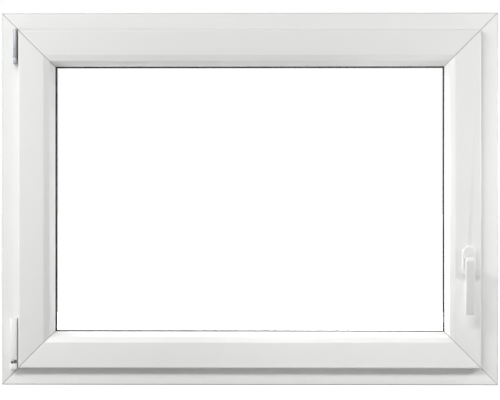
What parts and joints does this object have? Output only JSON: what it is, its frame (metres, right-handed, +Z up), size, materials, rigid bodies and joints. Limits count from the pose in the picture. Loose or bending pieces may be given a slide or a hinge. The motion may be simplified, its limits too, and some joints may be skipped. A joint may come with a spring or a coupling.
{
  "type": "tilt and turn window",
  "caption": "White plastic tilt and turn window with one inward opening sash, welded mitred corners, insulating glass, visible left-hand hinges and a turning lever handle.",
  "frame": {"origin": "middle of the underside of the outer frame, halfway through the depth of the frame", "axes": "+X to the right seen from the room, +Y from the room to the outside, +Z up"},
  "size_m": [1, 0.144, 0.75],
  "materials": {
    "white_profile": "smooth white plastic profile, slightly glossy",
    "white_cover": "moulded white plastic cover",
    "white_handle": "white powder coat",
    "black_gasket": "matt black gasket rubber",
    "clear_glass": "clear float glass",
    "spacer_metal": "satin aluminium",
    "grey_sealant": "matt sealant",
    "plated_steel": "zinc plated steel"
  },
  "bodies": {
    "window": {"bottom_hinge_arm": "plated_steel", "bottom_hinge_bearing": "white_cover", "bottom_hinge_cover": "white_cover", "bottom_hinge_pin": "plated_steel", "bottom_hinge_screw": "plated_steel", "drain_caps": "white_cover", "edge_seal": "grey_sealant", "frame_gasket": "black_gasket", "frame_head": "white_profile", "frame_jamb_left": "white_profile", "frame_jamb_right": "white_profile", "frame_sill": "white_profile", "glazing_bead_bottom": "white_profile", "glazing_bead_left": "white_profile", "glazing_bead_right": "white_profile", "glazing_bead_top": "white_profile", "handle_rosette": "white_handle", "inner_glazing_gasket": "black_gasket", "inner_pane": "clear_glass", "lap_gasket": "black_gasket", "outer_glazing_gasket": "black_gasket", "outer_pane": "clear_glass", "sash_bottom_rail": "white_profile", "sash_handle_stile": "white_profile", "sash_hinge_stile": "white_profile", "sash_top_rail": "white_profile", "spacer_bar": "spacer_metal", "top_hinge_bracket": "plated_steel", "top_hinge_cap": "plated_steel", "top_hinge_knuckle": "plated_steel", "top_hinge_pin": "plated_steel"},
    "handle": {"handle_lever": "white_handle", "handle_spindle": "plated_steel"}
  },
  "joints": [
    {"name": "handle_turn", "type": "hinge", "parent": "window", "child": "handle", "pos_m": [0.44, -0.054, 0.25], "axis": [0, 1, 0], "range_deg": [0, 180]}
  ]
}
